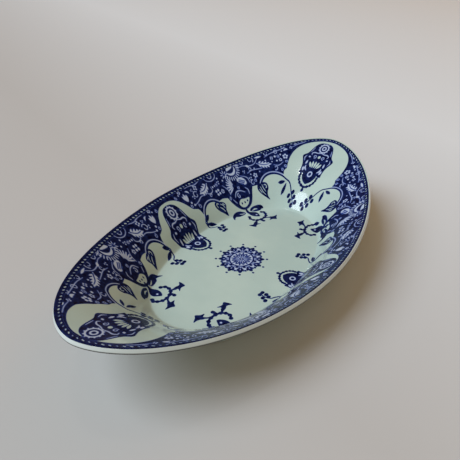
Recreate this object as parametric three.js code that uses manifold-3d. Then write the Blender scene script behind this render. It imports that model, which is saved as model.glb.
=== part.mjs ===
// An oval appetizer dish with swept-up ends: glazed earthenware with a blue printed border.
// Millimetres, +Z up, +X along the dish. The origin is on the surface that the dish stands on,
// under the middle of the well.

import * as THREE from "three";
import { mergeVertices } from "three/addons/utils/BufferGeometryUtils.js";
import Module from "manifold-3d";

const wasm = await Module();
wasm.setup();

// Edge line: the oval along the inside of the lip, where the print begins
const EDGE_LENGTH = 230;
const EDGE_WIDTH = 110;
// Powers of the oval: an ellipse has 2, and less than 2 draws the ends and sides in
const EDGE_END_POWER = 1.92;
const EDGE_SIDE_POWER = 1.79;

// Well: the flat floor inside
const WELL_LENGTH = 125;
const WELL_WIDTH = 66;
const WELL_POWER = 2.05;

// Wall: it leaves the floor level, turns up steeply and flares out to the edge line, which sweeps
// up to the ends
const SIDE_RISE = 20.5;
const END_RISE = 31.5;
const SWEEP_POWER = 2.3;
const SIDE_SLOPE = THREE.MathUtils.degToRad(32);
const END_SLOPE = THREE.MathUtils.degToRad(21.5);
// How far the wall keeps the floor's level and the rim's slope, as shares of its run
const FLOOR_EASE = 0.05;
const RIM_EASE = 0.89;

// Ware: glazed thickness at the well and, thinner, at the rim, and the white lip, cut square with
// soft corners: how far it stands outside the edge line, and how high its lower corner is
const WARE_THICKNESS = 3.2;
const RIM_THICKNESS = 2.5;
const LIP_REACH = 0.6;
const LIP_UNDER = 1;

// Foot ring under the turn of the wall
const FOOT_HEIGHT = 5;
const FOOT_SPREAD = 2;
const FOOT_THICKNESS = 6;

// Layers of the finish, and the gap that keeps each from the next
const GLAZE = 0.25;
const PRINT = 0.1;
const LAYER_GAP = 0.05;
const LUTE_GAP = 0.1;

// Edge line, bead row and border of the print, in plan, inwards from the edge line
const EDGE_LINE_START = 0.3;
const EDGE_LINE_WIDTH = 1.1;
const BEAD_ROW_WIDTH = 0.7;
const BORDER_SIDE_WIDTH = 12.2;
const BORDER_END_WIDTH = 24;
const QUARTER_GAP = 0.3;

// Drops inside the reserves: half as wide as they are across, and how far they hang
const DROP_HALF_WIDTH = 10.8;
const SIDE_DROP_REACH = 13;
const END_DROP_LENGTH = 35;

// White reserves that break the border: the band left above each, the white round its drop,
// how long it is to its shoulders and how far these stand out
const SIDE_RESERVE = { band: 1.7, above: 1.2, beside: 2.7, length: 10.9, flare: 5 };
const END_RESERVE = { band: 1.1, above: 1.4, beside: 9.7, length: 32.8, flare: -2.5 };
// Shape of a reserve and of a drop, as shares of their widths and lengths
const RESERVE_SHAPE = { crown: 0.44, brow: 0.27, waist: 0.57 };
const DROP_SHAPE = { crown: 0.5, brow: 0.22, waist: 0.42, neck: 0.68, tail: 0.88 };
const DROP_NECK_WIDTH = 0.55;
const DROP_TAIL_WIDTH = 0.7;

// White lobes cut out of the border, and the pendant between them: where each stands on the
// edge line, as the angle of the oval, then its depth and radius
const SIDE_LOBE = { angle: THREE.MathUtils.degToRad(73.5), depth: 21.3, radius: 9.3 };
const END_LOBE = { angle: THREE.MathUtils.degToRad(45.8), depth: 22.8, radius: 9 };
const PENDANT = { angle: THREE.MathUtils.degToRad(61.6), depth: 15.7, radius: 8.4 };

// Sprigs in the well, each hanging under its pendant: how far it stands to one side of the
// pendant's line, and the gap between the pendant and the sprig's ring
const SPRIG_SHIFT = 3;
const SPRIG_GAP = 2.8;
const SPRIG_RING_RADIUS = 4.6;
const SPRIG_LEAF_WIDTH = 4.4;
const SPRIG_UPPER_LEAF = { along: -7.2, across: 9.5 };
const SPRIG_LOWER_LEAF = { along: 6.6, across: 8 };

// Rosette in the middle of the well
const ROSETTE_RADIUS = 12.4;
const ROSETTE_WAVE = 1.5;
const ROSETTE_PETALS = 8;

// Fineness of the faceted solids
const QUARTER_STEPS = 15;
const WALL_STEPS = 5;
const LIP_STEPS = 2;
const CURVE_STEPS = 8;
const DISC_STEPS = 24;
const LEAF_STEPS = 4;
const ROSETTE_STEPS = 48;

// Worked out from the sizes above
const WELL_Z = FOOT_HEIGHT + WARE_THICKNESS;
const STEPS_AROUND = 4 * QUARTER_STEPS;
const BORDER_START = EDGE_LINE_START + EDGE_LINE_WIDTH + BEAD_ROW_WIDTH;
const PRINT_DEPTH = GLAZE + LAYER_GAP;
const CLAY_DEPTH = PRINT_DEPTH + PRINT + LAYER_GAP;
const ABOVE_DISH = WELL_Z + Math.max(END_RISE, SIDE_RISE) + WARE_THICKNESS;
const MID_WARE = FOOT_HEIGHT + WARE_THICKNESS / 2;

const CLAY = { color: 0xe9e2d0, roughness: 0.85 };
const CLEAR_GLAZE = { color: 0xd5e0d6, roughness: 0.08, transparent: true, opacity: 0.3 };
const COBALT = { color: 0x18264f, roughness: 0.25 };

// A point of an oval whose powers may differ along X and Y
function ovalPoint(length, width, endPower, sidePower, angle) {
  const c = Math.cos(angle);
  const s = Math.sin(angle);
  const x = (length / 2) * Math.sign(c) * Math.abs(c) ** (2 / endPower);
  const y = (width / 2) * Math.sign(s) * Math.abs(s) ** (2 / sidePower);
  return new THREE.Vector2(x, y);
}

function edgePoint(angle, depthX = 0, depthY = depthX) {
  const length = EDGE_LENGTH - 2 * depthX;
  const width = EDGE_WIDTH - 2 * depthY;
  return ovalPoint(length, width, EDGE_END_POWER, EDGE_SIDE_POWER, angle);
}

function wellPoint(angle, spread = 0) {
  const length = WELL_LENGTH + 2 * spread;
  const width = WELL_WIDTH + 2 * spread;
  return ovalPoint(length, width, WELL_POWER, WELL_POWER, angle);
}

function anglesAround() {
  return Array.from({ length: STEPS_AROUND }, (_, i) => (2 * Math.PI * i) / STEPS_AROUND);
}

// The wall's section at one angle: a curve from the well's edge up to the edge line
function wallAt(angle) {
  const start = wellPoint(angle);
  const end = edgePoint(angle);
  const run = start.distanceTo(end);
  const out = end.clone().sub(start).divideScalar(run);
  const sweep = Math.abs(end.x / (EDGE_LENGTH / 2)) ** SWEEP_POWER;
  const rise = THREE.MathUtils.lerp(SIDE_RISE, END_RISE, sweep);
  const slope = THREE.MathUtils.lerp(SIDE_SLOPE, END_SLOPE, sweep);
  const ease = RIM_EASE * run;
  const curve = new THREE.CubicBezierCurve(
    new THREE.Vector2(0, 0),
    new THREE.Vector2(FLOOR_EASE * run, 0),
    new THREE.Vector2(run - ease * Math.cos(slope), rise - ease * Math.sin(slope)),
    new THREE.Vector2(run, rise),
  );
  const place = (p) => {
    const plan = start.clone().addScaledVector(out, p.x);
    return new THREE.Vector3(plan.x, plan.y, WELL_Z + p.y);
  };
  const at = (share, depth) => {
    const tangent = curve.getTangent(share);
    const inside = new THREE.Vector2(tangent.y, -tangent.x).multiplyScalar(depth);
    return place(curve.getPoint(share).add(inside));
  };
  // The lip turns a corner from the upper face, and another to the under face
  const lip = (turn, depth, middle, height) => {
    const tangent = curve.getTangent(1);
    const normal = new THREE.Vector2(-tangent.y, tangent.x);
    const p = curve.getPoint(1);
    p.addScaledVector(tangent, (LIP_REACH - depth) * Math.sin(turn));
    p.addScaledVector(normal, -middle + (height - depth) * Math.cos(turn));
    return place(p);
  };
  return { at, lip };
}

// A closed solid from a pole, rings of points and a second pole. Each four-sided facet is split
// along its shorter diagonal, so layers that lie on each other are split alike.
function solidOfRings(firstPole, rings, lastPole) {
  const count = rings[0].length;
  const points = [firstPole, ...rings.flat(), lastPole];
  const vertProperties = new Float32Array(points.flatMap((p) => p.toArray()));
  const last = points.length - 1;
  const index = (ring, i) => 1 + ring * count + (i % count);
  const triVerts = [];
  for (let i = 0; i < count; i += 1) {
    triVerts.push(0, index(0, i), index(0, i + 1));
    for (let r = 0; r + 1 < rings.length; r += 1) {
      const [a, b, c, d] = [index(r, i), index(r + 1, i), index(r + 1, i + 1), index(r, i + 1)];
      if (points[a].distanceTo(points[c]) < points[b].distanceTo(points[d])) {
        triVerts.push(a, b, c, a, c, d);
      } else {
        triVerts.push(a, b, d, b, c, d);
      }
    }
    triVerts.push(index(rings.length - 1, i + 1), index(rings.length - 1, i), last);
  }
  const mesh = new wasm.Mesh({ numProp: 3, vertProperties, triVerts: new Uint32Array(triVerts) });
  return new wasm.Manifold(mesh);
}

const walls = anglesAround().map(wallAt);
const upShares = Array.from({ length: WALL_STEPS + 1 }, (_, i) => i / WALL_STEPS);
const cornerTurns = Array.from({ length: LIP_STEPS }, (_, i) => ((i + 1) / LIP_STEPS) * (Math.PI / 2));

// Rings up the wall, at a depth in the ware that may change from the well to the rim
function faceRings(depth, rimDepth = depth) {
  return upShares.map((share) => {
    const shareDepth = THREE.MathUtils.lerp(depth, rimDepth, share);
    return walls.map((wall) => wall.at(share, shareDepth));
  });
}

// The whole dish without its foot, with its surface taken in by a depth all over
function dishSolid(depth) {
  const lipRing = (turn, middle, height) => walls.map((wall) => wall.lip(turn, depth, middle, height));
  const lowMiddle = RIM_THICKNESS - LIP_UNDER;
  const upper = cornerTurns.map((turn) => lipRing(turn, LIP_REACH, LIP_REACH));
  const lower = cornerTurns.map((turn) => lipRing(Math.PI - turn, lowMiddle, LIP_UNDER));
  const under = faceRings(WARE_THICKNESS - depth, RIM_THICKNESS - depth);
  const rings = [...faceRings(depth), ...upper, ...lower.reverse(), ...under.reverse()];
  const top = new THREE.Vector3(0, 0, WELL_Z - depth);
  const bottom = new THREE.Vector3(0, 0, FOOT_HEIGHT + depth);
  return solidOfRings(top, rings, bottom);
}

// The sheet that all prints are cut from: it lies under the glaze, from the well to the edge line
function printSheet() {
  const low = PRINT_DEPTH + PRINT;
  const rings = [...faceRings(PRINT_DEPTH), ...faceRings(low).reverse()];
  const top = new THREE.Vector3(0, 0, WELL_Z - PRINT_DEPTH);
  const bottom = new THREE.Vector3(0, 0, WELL_Z - low);
  return solidOfRings(top, rings, bottom);
}

// A prism that stands on a plan outline
function prism(points, low = 0, high = ABOVE_DISH) {
  const options = { depth: high - low, bevelEnabled: false };
  let geometry = new THREE.ExtrudeGeometry(new THREE.Shape(points), options);
  geometry.translate(0, 0, low);
  geometry.deleteAttribute("normal");
  geometry.deleteAttribute("uv");
  geometry = mergeVertices(geometry);
  const vertProperties = new Float32Array(geometry.attributes.position.array);
  const triVerts = new Uint32Array(geometry.index.array);
  return new wasm.Manifold(new wasm.Mesh({ numProp: 3, vertProperties, triVerts }));
}

function disc(centre, radius) {
  const shape = new THREE.Shape().absarc(centre.x, centre.y, radius, 0, 2 * Math.PI);
  return prism(shape.getPoints(DISC_STEPS).slice(0, -1));
}

// Places on the print by how far across and how deep they lie, from an origin and a way inwards
function planFrame(origin, inwards) {
  const across = new THREE.Vector2(-inwards.y, inwards.x);
  return (x, depth) => origin.clone().addScaledVector(across, x).addScaledVector(inwards, depth);
}

// A frame on the edge line, square to it
function edgeFrame(angle) {
  const origin = edgePoint(angle);
  const gradient = new THREE.Vector2(
    (EDGE_END_POWER / EDGE_LENGTH) * Math.abs((2 * origin.x) / EDGE_LENGTH) ** (EDGE_END_POWER - 1),
    (EDGE_SIDE_POWER / EDGE_WIDTH) * Math.abs((2 * origin.y) / EDGE_WIDTH) ** (EDGE_SIDE_POWER - 1),
  ).normalize();
  return planFrame(origin, gradient.negate());
}

const sideFrame = edgeFrame(Math.PI / 2);
const endFrame = edgeFrame(0);
const pendantCentre = edgeFrame(PENDANT.angle)(0, PENDANT.depth);

// An outline from points of one half, mirrored over its axis
function mirroredOutline(frame, half) {
  const back = half.slice(1, -1).reverse();
  return [...half.map((p) => frame(p.x, p.y)), ...back.map((p) => frame(-p.x, p.y))];
}

// A reserve opens from its apex near the edge line to its shoulders, and on to the well
function reserve(frame, size) {
  const apex = BORDER_START + size.band;
  const shoulder = apex + size.length;
  const waist = DROP_HALF_WIDTH + size.beside;
  const flare = waist + size.flare;
  const down = (share) => apex + size.length * share;
  const half = new THREE.Shape();
  half.moveTo(0, apex);
  half.bezierCurveTo(
    waist * RESERVE_SHAPE.crown, apex, waist, down(RESERVE_SHAPE.brow), waist, down(RESERVE_SHAPE.waist),
  );
  half.quadraticCurveTo(waist, shoulder, flare, shoulder);
  half.lineTo(flare, EDGE_WIDTH / 2);
  half.lineTo(0, EDGE_WIDTH / 2);
  return prism(mirroredOutline(frame, half.getPoints(CURVE_STEPS)));
}

// A drop is a dome with a tail that runs into the well
function drop(frame, start, length) {
  const width = DROP_HALF_WIDTH;
  const down = (share) => start + length * share;
  const neck = down(DROP_SHAPE.neck);
  const half = new THREE.Shape();
  half.moveTo(0, start);
  half.bezierCurveTo(
    width * DROP_SHAPE.crown, start, width, down(DROP_SHAPE.brow), width, down(DROP_SHAPE.waist),
  );
  half.quadraticCurveTo(width, neck, width * DROP_NECK_WIDTH, neck);
  half.quadraticCurveTo(width * DROP_TAIL_WIDTH, down(DROP_SHAPE.tail), 0, start + length);
  return prism(mirroredOutline(frame, half.getPoints(CURVE_STEPS)));
}

// One quarter of the border: the band along the edge line, without its reserves and lobes
function borderQuarter() {
  const steps = QUARTER_STEPS;
  const angles = Array.from({ length: steps + 1 }, (_, i) => ((Math.PI / 2) * i) / steps);
  const endDepth = BORDER_START + BORDER_END_WIDTH;
  const sideDepth = BORDER_START + BORDER_SIDE_WIDTH;
  const outer = angles.map((angle) => edgePoint(angle, BORDER_START));
  const inner = angles.map((angle) => edgePoint(angle, endDepth, sideDepth)).reverse();
  const inset = new THREE.Vector2(QUARTER_GAP / 2, QUARTER_GAP / 2);
  const band = prism([...outer, ...inner].map((p) => p.clone().max(inset)));
  const lobe = (size) => disc(edgeFrame(size.angle)(0, size.depth), size.radius);
  const pendant = disc(pendantCentre, PENDANT.radius);
  return band
    .subtract(lobe(SIDE_LOBE))
    .subtract(lobe(END_LOBE))
    .subtract(reserve(sideFrame, SIDE_RESERVE))
    .subtract(reserve(endFrame, END_RESERVE))
    .add(pendant);
}

// A sprig is a scroll ring with two leaves each way
function sprig() {
  const fall = PENDANT.radius + SPRIG_GAP + SPRIG_RING_RADIUS;
  const origin = edgeFrame(PENDANT.angle)(SPRIG_SHIFT, PENDANT.depth + fall);
  const frame = planFrame(origin, origin.clone().sub(pendantCentre).normalize());
  const leaf = (tip, side) => {
    const end = new THREE.Vector2(tip.across * side, tip.along);
    const half = new THREE.Vector2(-end.y, end.x).setLength(SPRIG_LEAF_WIDTH);
    const mid = end.clone().divideScalar(2);
    const outline = new THREE.Shape();
    outline.moveTo(0, 0);
    outline.quadraticCurveTo(mid.x + half.x, mid.y + half.y, end.x, end.y);
    outline.quadraticCurveTo(mid.x - half.x, mid.y - half.y, 0, 0);
    return prism(outline.getPoints(LEAF_STEPS).slice(0, -1).map((p) => frame(p.x, p.y)));
  };
  let solid = disc(origin, SPRIG_RING_RADIUS);
  for (const tip of [SPRIG_UPPER_LEAF, SPRIG_LOWER_LEAF]) {
    solid = solid.add(leaf(tip, 1)).add(leaf(tip, -1));
  }
  return solid;
}

function rosette() {
  const points = Array.from({ length: ROSETTE_STEPS }, (_, i) => {
    const angle = (2 * Math.PI * i) / ROSETTE_STEPS;
    const radius = ROSETTE_RADIUS + ROSETTE_WAVE * Math.cos(ROSETTE_PETALS * angle);
    return new THREE.Vector2(radius * Math.cos(angle), radius * Math.sin(angle));
  });
  return prism(points);
}

function edgeLine() {
  const outline = (depth) => anglesAround().map((angle) => edgePoint(angle, depth));
  const inside = EDGE_LINE_START + EDGE_LINE_WIDTH;
  return prism(outline(EDGE_LINE_START)).subtract(prism(outline(inside)));
}

// A prism on the foot's oval, grown or shrunk in plan
function footPrism(spread) {
  return prism(anglesAround().map((angle) => wellPoint(angle, spread)), 0, MID_WARE);
}

const clay = dishSolid(CLAY_DEPTH);
const seat = dishSolid(CLAY_DEPTH - LUTE_GAP);
const glazeShell = dishSolid(0).subtract(dishSolid(GLAZE));
const sheet = printSheet();
const footInner = FOOT_SPREAD - FOOT_THICKNESS;
const footRing = footPrism(FOOT_SPREAD).subtract(footPrism(footInner)).subtract(seat);

const dish = new THREE.Group();

// Adds a part to the dish. A print of one quarter or half can be mirrored over either axis.
function addPart(name, solid, finish, [x, y] = [1, 1]) {
  const mesh = solid.getMesh();
  const positions = new Float32Array(mesh.vertProperties);
  const triangles = new Uint32Array(mesh.triVerts);
  if (x * y < 0) {
    triangles.reverse();
  }
  const geometry = new THREE.BufferGeometry();
  geometry.setAttribute("position", new THREE.BufferAttribute(positions, 3));
  geometry.setIndex(new THREE.BufferAttribute(triangles, 1));
  geometry.scale(x, y, 1);
  geometry.computeVertexNormals();
  const part = new THREE.Mesh(geometry, new THREE.MeshStandardMaterial({ metalness: 0, ...finish }));
  part.name = name;
  dish.add(part);
}

addPart("clay_body", clay, CLAY);
addPart("foot_ring", footRing, CLAY);
addPart("glaze_coat", glazeShell.subtract(footPrism(FOOT_SPREAD + LUTE_GAP)), CLEAR_GLAZE);
addPart("glaze_recess", glazeShell.intersect(footPrism(footInner - LUTE_GAP)), CLEAR_GLAZE);
addPart("edge_line", sheet.intersect(edgeLine()), COBALT);

const border = sheet.intersect(borderQuarter());
const sprigPrint = sheet.intersect(sprig());
const quarters = { right_back: [1, 1], left_back: [-1, 1], left_front: [-1, -1], right_front: [1, -1] };
for (const [place, sides] of Object.entries(quarters)) {
  addPart(`border_${place}`, border, COBALT, sides);
  addPart(`sprig_${place}`, sprigPrint, COBALT, sides);
}

const endDropStart = BORDER_START + END_RESERVE.band + END_RESERVE.above;
const sideDropStart = BORDER_START + SIDE_RESERVE.band + SIDE_RESERVE.above;
const sideDropTip = (EDGE_WIDTH - WELL_WIDTH) / 2 + SIDE_DROP_REACH;
const endDrop = sheet.intersect(drop(endFrame, endDropStart, END_DROP_LENGTH));
const sideDrop = sheet.intersect(drop(sideFrame, sideDropStart, sideDropTip - sideDropStart));
addPart("drop_right_end", endDrop, COBALT);
addPart("drop_left_end", endDrop, COBALT, [-1, 1]);
addPart("drop_back_side", sideDrop, COBALT);
addPart("drop_front_side", sideDrop, COBALT, [1, -1]);
addPart("centre_rosette", sheet.intersect(rosette()), COBALT);

export default dish;
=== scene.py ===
"""An oval appetizer dish: glazed earthenware with a blue printed border, dressed over its CAD frame."""

import math

import bpy
import numpy as np
from bpy.props import FloatProperty, FloatVectorProperty, PointerProperty
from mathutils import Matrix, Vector


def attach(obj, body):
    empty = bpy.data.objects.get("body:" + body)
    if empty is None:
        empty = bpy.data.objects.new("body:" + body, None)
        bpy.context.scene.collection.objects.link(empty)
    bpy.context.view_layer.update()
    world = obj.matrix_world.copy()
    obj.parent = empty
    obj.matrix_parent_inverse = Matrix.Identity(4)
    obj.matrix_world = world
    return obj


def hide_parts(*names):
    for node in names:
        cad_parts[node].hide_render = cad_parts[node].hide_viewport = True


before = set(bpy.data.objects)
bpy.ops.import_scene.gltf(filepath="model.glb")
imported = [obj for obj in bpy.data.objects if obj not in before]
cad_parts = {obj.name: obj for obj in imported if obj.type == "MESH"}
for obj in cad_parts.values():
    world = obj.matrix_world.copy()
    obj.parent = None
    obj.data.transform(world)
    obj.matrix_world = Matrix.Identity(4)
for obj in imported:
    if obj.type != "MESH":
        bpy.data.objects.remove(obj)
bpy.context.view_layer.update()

bl_info = {
    "name": "Appetizer dish",
    "version": (1, 0, 0),
    "blender": (4, 5, 0),
    "location": "View3D > Sidebar > Dish",
    "description": "Models an oval glazed dish with a blue printed border, on a pale table",
    "category": "Add Mesh",
}

MM = 0.001

# Powers of the ovals, and how far the wall keeps the floor's level and the rim's slope. They are the CAD's,
# but for a softer bend at the floor
EDGE_POWERS = (1.92, 1.79)
WELL_POWER = 2.05
SWEEP_POWER = 2.3
FLOOR_EASE = 0.08
RIM_EASE = 0.89

# Fineness of the ware: facets round it, up its wall, round its lip and under it, and rings of its floor
FACETS_AROUND = 384
WALL_RINGS = 44
LIP_RINGS = 6
UNDER_RINGS = 30
FLOOR_SHARES = (0.04, 0.25, 0.5, 0.75)

# Steps of the search for the height of the wall over a place, and a number that stands for next to nothing
HALVINGS = 36
TINY = 1e-9

# Light and shade painted on the lip: it is whiter, for glaze thinned there and for painted light that it
# catches, and its lower corner has painted shade, up to the first of its turns from the under face, and not
# from the second
THINNED_LIT_LIP = 0.5
SHADED_CORNER = 1.0
LOWER_CORNER_TURNS = (math.radians(55), math.radians(75))

# Foot: how far it runs up into the ware, the height of the bend on its sides, the rounding of its rim with
# the turns of that in degrees, and how far down a face points that is left bare
FOOT_SINK = 0.8
FOOT_BEND = 3
FOOT_ROUNDING = 0.9
FOOT_TURNS = range(0, 91, 15)
FOOT_BARE = -0.6

# Strip along the edge: points of its line, the margin of its drawing, and how far it lies inwards at the
# right end and outwards at the left
EDGE_POINTS = 7201
EDGE_MARGIN = 1
EDGE_INSET = 1.0
EDGE_OVERLAP = 0.14

# Beads: least and most size, how far in radians that changes from one to the next, and their slant
BEAD_SIZES = (0.6, 1.0)
BEAD_CHANGE = 1.9
BEAD_SLANT = 0.45

# Drawings: their grid steps, how far they look round a shape, and how near a grid point an outline cuts
GRID_STEP = 0.25
DROP_GRID_STEP = 0.2
ROSETTE_GRID_STEP = 0.18
REACH = 2.2
LEAST_CUT = 0.06

# Films of print: height over the ware, thickness, and the margin of their flat map
FILM_LIFT = 0.05
FILM_THICKNESS = 0.06
MAP_MARGIN = 0.01

# Tones of the print: full ink, the ware under a pale blue wash, and the bare ware
INK, PALE, BARE = 1, 0, -1

# Faces that meet at less than this angle are shaded as one surface, and points closer than this are merged
SMOOTH_ANGLE = math.radians(40)
MERGE_DISTANCE = 0.001

# Sockets of a colour mix: its share, its two colours and its result
MIX_SHARE, MIX_FROM, MIX_TO, MIX_RESULT = 0, 6, 7, 2

# Sides of the quarters along and across the dish
QUARTERS = {"right_back": (1, 1), "left_back": (-1, 1), "left_front": (-1, -1), "right_front": (1, -1)}

# Border of one quarter, in plan millimetres from the middle of the dish: its edge against the white
SIDE_RESERVE = (
    (0, 51.2), (4, 50.8), (7, 49.7), (9.6, 47.8), (11.6, 45.6), (13.2, 43.4), (14.4, 41.9), (16, 41.1),
    (17.7, 40.4),
)
END_RESERVE = (
    (78.9, 16.6), (80.2, 17.2), (81.6, 17), (83, 16.7), (87, 17.9), (91.5, 18.6), (96, 18.4),
    (100, 17.2), (103.5, 15.2), (107, 11.8), (109.6, 7.8), (111.2, 4), (111.7, 0),
)
PENDANT_EDGE = (
    (40.6, 34.6), (41.1, 31.8), (42.3, 29), (44, 26.6), (46.2, 24.9), (49, 24), (52, 24), (54.6, 25.2),
    (57, 26.9), (59.2, 28.2),
)
SIDE_LOBE = (26.3, 30.5)
END_LOBE = (68.5, 16.8)
SIDE_LOBE_ARC = (138, 38)
END_LOBE_ARC = (118, 3)
LOBE_RADIUS = 10.0
LOBE_GAP_RADIUS = 9.8
LOBE_LINE_RADIUS = 9.1

# How deep inside the edge line the blue ground starts, how far it is drawn past the quarter's sides, and how
# deep the border is trimmed to meet the strip
GROUND_DEPTH = 0.6
GROUND_OVERRUN = 2
BORDER_DEPTH = 2.25

# Curls in the gaps of the ground: pitch of the places that are tried, least and most size, for each round
CURL_ROUNDS = ((4.8, 1.7, 2), (3.1, 1.15, 1.4))

# How far a curl strays as a share of the pitch, how that changes from row to row and from column to column
# in radians, how far a curl runs under the strip, and its turns in degrees
CURL_STRAY = 0.2
CURL_STRAY_CHANGES = (3.1, 2.3)
CURL_OVERRUN = 0.5
CURL_START = 137.5
CURL_TURN = 400

# Parts of the border that were laid off their place: a middle, how far outwards along and across the dish,
# and the distances from the middle between which that fades out
BORDER_SHIFTS = {
    "right_back": ((END_LOBE, (-1.5, -1.0)),),
    "left_back": (((85, 16), (0.0, -1.8)),),
}
BORDER_SHIFT_REACH = (5, 12)

# How far each sprig was laid from its place, outwards along and across the dish
SPRIG_SHIFTS = {
    "right_back": (-2, -0.4),
    "left_back": (0, 0),
    "left_front": (0.2, 1),
    "right_front": (1.6, 2),
}

# Half of a drop's outline, by distance across and down from its apex
DROP_OUTLINE = (
    (0, 0.5), (3.4, 1.1), (5.8, 2.9), (7.2, 5.8), (8, 8.4), (9, 10.4), (10.8, 12.1), (11, 13.4), (10, 15),
    (8.8, 17), (8, 19.4), (7.8, 21.4), (7.8, 22.9), (6, 22.9), (4.6, 22.3), (3.2, 22.8), (0, 22.9),
)

# How each drop was laid: its apex in plan, and where a millimetre across and a millimetre down it lead
DROP_LAYS = {
    "back_side": ((-0.5, 50.3), (1, 0), (0, -1)),
    "front_side": ((-0.5, -51.6), (1, 0), (0, 0.95)),
    "right_end": ((110.5, 1.4), (0, 0.93), (-1.15, 0)),
    "left_end": ((-112.3, -1.6), (0.15, 1), (1.32, 0.09)),
}

# Rosette: its size on the dish against its drawing, and its width against its height
ROSETTE_SCALE = 1.2
ROSETTE_STRETCH = 1.12

# Table: its side in metres, and the cuts across it
TABLE_SIZE = 6
TABLE_CUTS = 8

# Lights: the way to each from the dish, its distance and width in metres, its power in watts, its colour,
# and whether the glaze mirrors it
LIGHTS = {
    "window": ((-0.52, 0.4, 0.76), 5, 3.4, 270, "#E6F0FF", True),
    "ceiling_lamp": ((0.04, 0.16, 0.96), 3, 0.15, 2, "#FFFFFF", True),
    "room_lamp": ((0.85, -0.2, 0.5), 3, 2.4, 15, "#FFB868", False),
    "doorway": ((-0.78, -0.36, 0.51), 3, 2, 23, "#F4F3EC", True),
}
ROOM_COLOUR = "#FFC982"
ROOM_STRENGTH = 0.24

# Camera: its place in metres, its azimuth, elevation, roll and field of view in degrees, and its near limit
CAMERA_PLACE = (-0.2035, -0.1157, 0.1658)
CAMERA_TURNS = (-58.76, 30.86, 1.79)
CAMERA_VIEW = 47.03
CAMERA_NEAR = 0.01


def linear(code):
    """The linear colour of an sRGB hex value."""
    parts = [int(code[i:i + 2], 16) / 255 for i in (1, 3, 5)]
    return tuple(p / 12.92 if p <= 0.04045 else ((p + 0.055) / 1.055) ** 2.4 for p in parts) + (1.0,)


def length_property(name, description, default):
    """A length that a user would change, in metres, from millimetres."""
    return FloatProperty(
        name=name, description=description, default=default * MM, min=0, unit="LENGTH", precision=5,
    )


def angle_property(name, description, default):
    """An angle that a user would change, in radians, from degrees."""
    return FloatProperty(
        name=name, description=description, default=math.radians(default), subtype="ANGLE",
    )


def colour_property(name, description, code):
    """A colour that a user would change, from an sRGB hex value."""
    return FloatVectorProperty(
        name=name, description=description, default=linear(code), size=4, min=0, max=1, subtype="COLOR",
    )


class DishShape(bpy.types.PropertyGroup):
    """Sizes of the ware."""

    edge_length: length_property("Edge length", "Length of the edge line inside the lip", 230)
    edge_width: length_property("Edge width", "Width of the edge line inside the lip", 110)
    well_length: length_property("Well length", "Length of the flat floor", 125)
    well_width: length_property("Well width", "Width of the flat floor", 66)
    side_rise: length_property("Side rise", "Height of the edge over the floor at the sides", 20.5)
    end_rise: length_property("End rise", "Height of the edge over the floor at the ends", 31.5)
    side_slope: angle_property("Side slope", "Slope of the rim at the sides", 32)
    end_slope: angle_property("End slope", "Slope of the rim at the ends", 21.5)
    thickness: length_property("Ware thickness", "Thickness of the glazed ware at the well", 3.2)
    rim_thickness: length_property("Rim thickness", "Thickness of the glazed ware at the rim", 2.5)
    lip_reach: length_property("Lip reach", "White lip outside the edge line", 0.6)
    lip_under: length_property("Lip under", "Height of the lip's lower corner", 1)
    foot_height: length_property("Foot height", "Height of the foot ring", 5)
    foot_spread: length_property("Foot spread", "How far the foot stands outside the well", 2)
    foot_thickness: length_property("Foot thickness", "Thickness of the foot ring", 6)


class PrintShape(bpy.types.PropertyGroup):
    """Sizes of the printed lines that repeat all round."""

    edge_width: length_property("Edge strip", "Width of the dark strip along the edge", 2.3)
    edge_over: length_property("Edge overlap", "How far the dark strip runs over the lip's corner", 0.42)
    bead_pitch: length_property("Bead pitch", "Distance from one white bead to the next", 2.5)
    bead_length: length_property("Bead length", "Length of a white bead", 1.4)
    bead_width: length_property("Bead width", "Width of a white bead", 0.52)
    bead_depth: length_property("Bead depth", "How far the beads lie inside the edge", 1.3)
    halo: length_property("Halo", "How far the ink bleeds on both sides of its edge", 0.24)


class DishColours(bpy.types.PropertyGroup):
    """Colours of the finishes and of the table."""

    glaze: colour_property("Glaze", "Glazed white ware", "#ADC3BB")
    glaze_pool: colour_property("Pooled glaze", "Where the glaze lies thick", "#A3BBB5")
    pinhole: colour_property("Pinhole", "Specks in the glaze", "#8C8A78")
    # Partly painted light: the lip is whiter for glaze thinned there, and for painted light that its outer
    # face catches
    lip: colour_property("Lip", "Glaze thinned on the lip", "#BECBCA")
    # Painted shade: the dark grey of the lip's lower corner, which faces down into shade
    lip_shading: colour_property("Worn lip", "Lower corner of the lip", "#3C3D3C")
    ink: colour_property("Ink", "Full cobalt blue", "#010424")
    ink_thin: colour_property("Thin ink", "Cobalt blue where it thins out", "#2C4690")
    wash: colour_property("Wash", "Pale blue of the details in the ink", "#A8B8CC")
    biscuit: colour_property("Biscuit", "Unglazed foot", "#CDBFA4")
    stain: colour_property("Stain", "Stains on the unglazed foot", "#9C907C")
    table: colour_property("Table", "Table top", "#D1DADE")
    # Painted shade of the table top, towards its darker corner
    table_shaded: colour_property("Darker table", "Darker corner of the table top", "#B0B2B0")


def add_node(tree, kind, inputs=None, **settings):
    """Add a node, set its properties, and give each input a value or a link from another node's output."""
    node = tree.nodes.new(kind)
    for key, value in settings.items():
        setattr(node, key, value)
    for key, value in (inputs or {}).items():
        if isinstance(value, bpy.types.NodeSocket):
            tree.links.new(value, node.inputs[key])
        else:
            node.inputs[key].default_value = value
    return node


def new_material(name):
    """An empty node material and its tree."""
    material = bpy.data.materials.new(name)
    material.use_nodes = True
    material.node_tree.nodes.clear()
    return material, material.node_tree


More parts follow.
